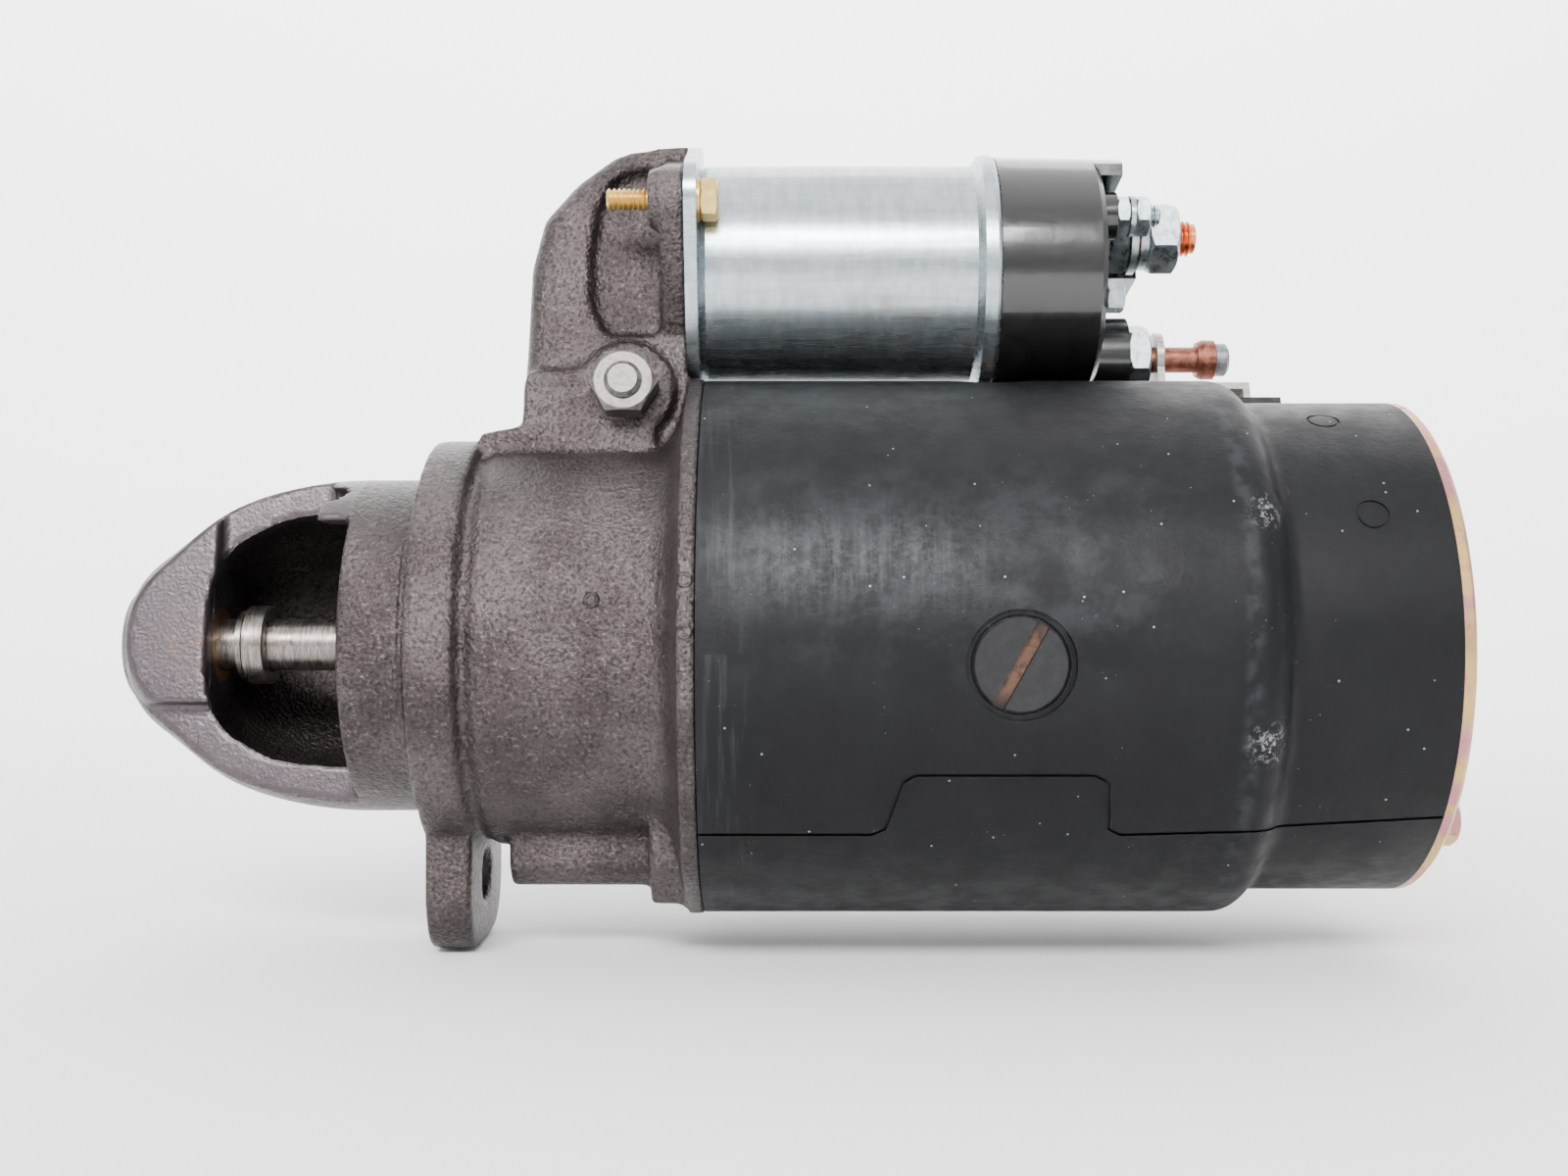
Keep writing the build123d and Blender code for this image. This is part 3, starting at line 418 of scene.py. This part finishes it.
# ---------------------------------------------------------------- end plate and through bolts
# The end plate is pressed from steel sheet and drawn up against the frame by two long through bolts.
# All are plated in yellow zinc that shimmers gold, pink and green; the solenoid's two bolts are brighter.
gold = Finish("yellow_zinc", Metallic=0.85)
gold_cloud = gold.grain(7, 3, 0.55)
gold_skin = gold.blend(tone(190, 158, 102), tone(176, 122, 124), gold.ramp(gold_cloud, 0.42, 0.6))
green_patches = gold.ramp(gold.grain(9, 3, 0.5, (1, 1.6, 1)), 0.54, 0.7)
gold_skin = gold.blend(gold_skin, tone(150, 158, 120), green_patches * 0.6)
brown_patches = gold.ramp(gold.grain(4.4, 5, 0.65), 0.56, 0.72)
gold_skin = gold.blend(gold_skin, tone(120, 74, 56), brown_patches * 0.6)
gold.raise_by(gold.grain(0.9, 4, 0.6), 0.05)
gold.done(gold_skin, gold.ramp(gold.grain(2.2, 4), 0.3, 0.7, 0.28, 0.46))
put_on(gold.material, "end_plate", "through_bolts")

bolt_gold = Finish("bolt_yellow_zinc", Metallic=0.85)
bolt_cloud = bolt_gold.grain(3, 4, 0.6)
bolt_gold.raise_by(bolt_cloud, 0.06)
bolt_skin = bolt_gold.blend(tone(206, 172, 100), tone(226, 196, 128), bolt_gold.ramp(bolt_cloud, 0.35, 0.65))
bolt_gold.done(bolt_skin, bolt_gold.ramp(bolt_cloud, 0.3, 0.7, 0.3, 0.42))
put_on(bolt_gold.material, "solenoid_bolts")

# ---------------------------------------------------------------- solenoid can and plate
# A drawn steel can with a rolled end, welded to a flat plate that bolts to the casting.
# Both are plated in clear blue-white zinc, which shows faint draw marks round the can.
zinc = Finish("clear_zinc", Metallic=0.93)
SOLENOID_AXIS = (14.59, 82.72)
can_place = zinc.round_place(*SOLENOID_AXIS)
brushed = zinc.grain(0.5, 3, 0.6, (4, 30, 1), can_place)
wide = zinc.grain(4, 3, 0.5, (9, 1, 1), can_place)
zinc_skin = zinc.blend(tone(160, 170, 176), tone(178, 187, 191), zinc.ramp(brushed, 0.35, 0.65))
zinc_skin = zinc.blend(zinc_skin, tone(148, 160, 170), zinc.ramp(wide, 0.5, 0.7) * 0.5)
stain = zinc.spot(98, 71, 9, 8) * zinc.ramp(zinc.grain(5, 4, 0.6), 0.45, 0.65)
zinc_skin = zinc.blend(zinc_skin, tone(150, 138, 124), stain * 0.5)
zinc.raise_by(brushed, 0.006)
zinc.raise_by(zinc.grain(2.2, 3, 0.5), 0.02)
zinc.done(zinc_skin, zinc.ramp(wide, 0.3, 0.7, 0.24, 0.31))
put_on(zinc.material, "solenoid_case", "solenoid_plate")

# ---------------------------------------------------------------- solenoid cap
# The cap is moulded in hard glossy black phenolic and held by the can's rolled end.
# Bosses and a barrier stand up round the terminals to keep them apart.
cap = Finish("black_phenolic", Coat_Weight=0.6, Coat_Roughness=0.06)
cap.raise_by(cap.grain(3.0, 3, 0.5), 0.05)
cap_skin = cap.blend(tone(14, 14, 15), tone(22, 22, 23), cap.ramp(cap.grain(5, 4), 0.4, 0.7))
cap.done(cap_skin, cap.ramp(cap.grain(1.4, 4), 0.3, 0.7, 0.16, 0.26))
put_on(cap.material, "solenoid_cap")

# ---------------------------------------------------------------- terminals
# Copper studs stand out of the cap, held by blue-zinc nuts and washers, with two small hexagon screws.
# The motor stud carries a dull copper collar and a grey screw for the strap that feeds the field coils.
plated = Finish("blue_zinc", Metallic=0.9)
plated_cloud = plated.grain(2.4, 4, 0.6)
plated_skin = plated.blend(tone(142, 152, 158), tone(178, 186, 190), plated.ramp(plated_cloud, 0.35, 0.68))
plated.raise_by(plated_cloud, 0.06)
plated.done(plated_skin, plated.ramp(plated_cloud, 0.3, 0.7, 0.24, 0.38))
put_on(plated.material, "battery_nuts", "battery_washers", "signal_nuts", "motor_nut", "cap_screws")

copper = Finish("bright_copper", Metallic=0.95)
copper_cloud = copper.grain(1.5, 4, 0.6)
copper_skin = copper.blend(tone(196, 104, 66), tone(224, 138, 92), copper.ramp(copper_cloud, 0.35, 0.65))
copper.raise_by(copper_cloud, 0.06)
copper.done(copper_skin, copper.ramp(copper_cloud, 0.3, 0.7, 0.25, 0.4))
put_on(copper.material, "contact_disc")


def threaded_stud(name, node, material, axis, head, shank, thread, tip_x, pitch):
    """A stud along X: head, plain shank and cut thread, each given by its start and radius, then a tip."""
    y, z = axis
    head_x, head_r = head
    shank_x, shank_r = shank
    thread_x, radius = thread
    bpy.ops.object.select_all(action="DESELECT")
    bpy.ops.mesh.primitive_circle_add(vertices=48, radius=head_r * MM, fill_type="NGON",
                                      location=(head_x * MM, y * MM, z * MM), rotation=(0, math.pi / 2, 0))
    stud = bpy.context.active_object
    stud.name = name
    bpy.ops.object.transform_apply(location=True, rotation=True, scale=True)
    bpy.ops.object.mode_set(mode="EDIT")
    bpy.ops.mesh.select_all(action="SELECT")
    place, size = head_x, head_r
    steps = [(shank_x, head_r), (shank_x, shank_r), (thread_x, shank_r)]
    ridge = thread_x
    root = radius - 0.6 * pitch
    while ridge + pitch < tip_x - 0.4 * pitch:
        steps += [(ridge, root), (ridge + 0.12 * pitch, root), (ridge + 0.5 * pitch, radius),
                  (ridge + 0.62 * pitch, radius), (ridge + pitch, root)]
        ridge += pitch
    steps += [(tip_x - 0.3, root), (tip_x, radius - pitch)]
    for x, r in steps:
        bpy.ops.mesh.extrude_region_move(TRANSFORM_OT_translate={"value": ((x - place) * MM, 0, 0)})
        share = r / size
        bpy.ops.transform.resize(value=(1, share, share), center_override=(x * MM, y * MM, z * MM))
        place, size = x, r
    bpy.ops.mesh.select_all(action="SELECT")
    bpy.ops.mesh.remove_doubles(threshold=0.001 * MM)
    bpy.ops.mesh.normals_make_consistent(inside=False)
    bpy.ops.object.mode_set(mode="OBJECT")
    bpy.ops.object.shade_smooth_by_angle(angle=math.radians(40))
    stud.data.materials.append(material)
    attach(stud, "housing")
    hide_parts(node)
    return stud


battery_stud = threaded_stud("battery_stud_cut", "battery_stud", copper.material, (16.15, 91.59),
                             head=(130.2, 7.5), shank=(133.0, 3.6), thread=(162.6, 3.97),
                             tip_x=167.0, pitch=1.06)
threaded_stud("signal_stud_cut", "signal_stud", plated.material, (2.85, 93.93),
              head=(134.6, 4.0), shank=(136.0, 2.0), thread=(154.0, 2.4), tip_x=156.4, pitch=0.8)

# The battery stud's head is hollowed out round the contact rod, which passes beside it.
ROD_ROOM_R = 5.6
ROD_ROOM_LENGTH = 13
ROD_ROOM_MIDDLE = (126.51 * MM, SOLENOID_AXIS[0] * MM, SOLENOID_AXIS[1] * MM)
bpy.ops.mesh.primitive_cylinder_add(vertices=96, radius=ROD_ROOM_R * MM, depth=ROD_ROOM_LENGTH * MM,
                                    location=ROD_ROOM_MIDDLE, rotation=(0, math.pi / 2, 0))
cutter = bpy.context.active_object
apply(battery_stud, "BOOLEAN", object=cutter, operation="DIFFERENCE", solver="EXACT")
bpy.data.objects.remove(cutter)

brown = Finish("dull_copper", Metallic=0.9)
brown_cloud = brown.grain(1.8, 4, 0.6)
brown_skin = brown.blend(tone(112, 68, 56), tone(150, 98, 82), brown.ramp(brown_cloud, 0.35, 0.65))
brown.raise_by(brown_cloud, 0.08)
brown.done(brown_skin, brown.ramp(brown_cloud, 0.3, 0.7, 0.34, 0.5))
put_on(brown.material, "motor_stud", "motor_clamp")

tinned = Finish("tinned_strap", Metallic=0.8)
tinned_cloud = tinned.grain(2.0, 4, 0.6, (6, 1, 1))
tinned.raise_by(tinned_cloud, 0.04)
tinned.done(tinned.blend(tone(158, 152, 144), tone(196, 192, 186), tinned.ramp(tinned_cloud, 0.35, 0.65)),
            tinned.ramp(tinned_cloud, 0.3, 0.7, 0.3, 0.42))
put_on(tinned.material, "field_strap")

grey = Finish("grey_steel", Metallic=0.85)
grey_cloud = grey.grain(1.2, 4, 0.6)
grey.raise_by(grey_cloud, 0.08)
grey.done(grey.blend(tone(104, 106, 110), tone(140, 142, 146), grey.ramp(grey_cloud, 0.35, 0.65)),
          grey.ramp(grey_cloud, 0.3, 0.7, 0.34, 0.48))
put_on(grey.material, "motor_screw")

rubber = Finish("black_rubber")
rubber.raise_by(rubber.grain(0.8, 3, 0.6), 0.05)
rubber.done(rubber.blend(tone(24, 24, 24), tone(40, 39, 38), rubber.ramp(rubber.grain(3, 4), 0.4, 0.7)), 0.7)
put_on(rubber.material, "frame_grommet")

# ---------------------------------------------------------------- shaft, pinion and drive
# Turned and ground steel with fine marks round the axis and a warm film of old oil.
# The springs, the shift lever and the contact rod are darker, left black from heat treatment.
turned = Finish("turned_steel", Metallic=0.95)
lathe = turned.grain(0.3, 3, 0.6, (1, 90, 1), turned.round_place())
turned_skin = turned.blend(tone(104, 98, 94), tone(146, 140, 135), turned.ramp(lathe, 0.35, 0.65))
oil_film = turned.ramp(turned.grain(4, 4, 0.6), 0.5, 0.7) * 0.6
turned_skin = turned.blend(turned_skin, tone(110, 92, 78), oil_film)
turned.raise_by(lathe, 0.03)
turned.done(turned_skin, turned.ramp(turned.grain(3, 4), 0.3, 0.7, 0.26, 0.42))
put_on(turned.material, "armature_shaft", "stop_collar", "stop_ring", "thrust_washer",
       "pinion", "clutch_shell", "clutch_rollers", "shift_collar", "collar_ring")

dark = Finish("black_oxide", Metallic=0.8)
dark_cloud = dark.grain(1.6, 4, 0.6)
dark.raise_by(dark_cloud, 0.1)
dark.done(dark.blend(tone(46, 44, 43), tone(72, 69, 67), dark.ramp(dark_cloud, 0.35, 0.65)),
          dark.ramp(dark_cloud, 0.3, 0.7, 0.38, 0.55))
put_on(dark.material, "mesh_spring", "shift_lever", "plunger_spring", "contact_spring", "contact_rod",
       "brush_spring_top", "brush_spring_front", "brush_spring_bottom", "brush_spring_back")

# ---------------------------------------------------------------- hidden electrical parts
# Poles, coils, armature, commutator and brush gear inside the frame, and the solenoid's coil and plunger.
# Plain soft iron, enamelled wire, copper bars, oiled bronze, carbon and moulded nylon.
soft_iron = Finish("soft_iron", Metallic=0.75)
iron_cloud = soft_iron.grain(2, 4, 0.6)
soft_iron.raise_by(iron_cloud, 0.1)
soft_iron.done(soft_iron.blend(tone(84, 82, 82), tone(116, 113, 112), soft_iron.ramp(iron_cloud, 0.35, 0.65)),
               soft_iron.ramp(iron_cloud, 0.3, 0.7, 0.38, 0.52))
put_on(soft_iron.material, "pole_shoes", "armature_core", "solenoid_core", "plunger",
       "brush_ring", "brush_boxes")

wire = Finish("enamelled_wire", Metallic=0.3, Coat_Weight=0.3)
turns = wire.grain(0.7, 1, 0.3, (1, 200, 1), wire.round_place(*SOLENOID_AXIS))
wire.raise_by(turns, 0.2)
wire.done(wire.blend(tone(104, 52, 28), tone(156, 86, 46), wire.ramp(turns, 0.35, 0.65)), 0.35)
put_on(wire.material, "solenoid_coil", "armature_winding", "field_coils")

commutator_copper = Finish("commutator_copper", Metallic=0.95)
bars = commutator_copper.grain(1.2, 3, 0.6, (1, 30, 1), commutator_copper.round_place())
commutator_copper.done(commutator_copper.blend(tone(168, 96, 62), tone(200, 126, 88), bars), 0.3)
put_on(commutator_copper.material, "commutator")

bronze = Finish("oiled_bronze", Metallic=0.9)
bronze_cloud = bronze.grain(0.7, 3, 0.6)
bronze.raise_by(bronze_cloud, 0.04)
bronze.done(bronze.blend(tone(132, 98, 58), tone(166, 128, 82), bronze_cloud), 0.4)
put_on(bronze.material, "nose_bushing", "end_bushing")

carbon = Finish("brush_carbon", Metallic=0.1)
carbon_cloud = carbon.grain(0.6, 3, 0.6)
carbon.raise_by(carbon_cloud, 0.04)
carbon.done(carbon.blend(tone(34, 33, 33), tone(54, 52, 51), carbon_cloud), 0.55)
put_on(carbon.material, "brush_top", "brush_front", "brush_bottom", "brush_back")

nylon = Finish("bobbin_nylon")
nylon_cloud = nylon.grain(2, 3, 0.6)
nylon.raise_by(nylon_cloud, 0.03)
nylon.done(nylon.blend(tone(196, 188, 168), tone(214, 207, 190), nylon_cloud), 0.45)
put_on(nylon.material, "solenoid_bobbin")
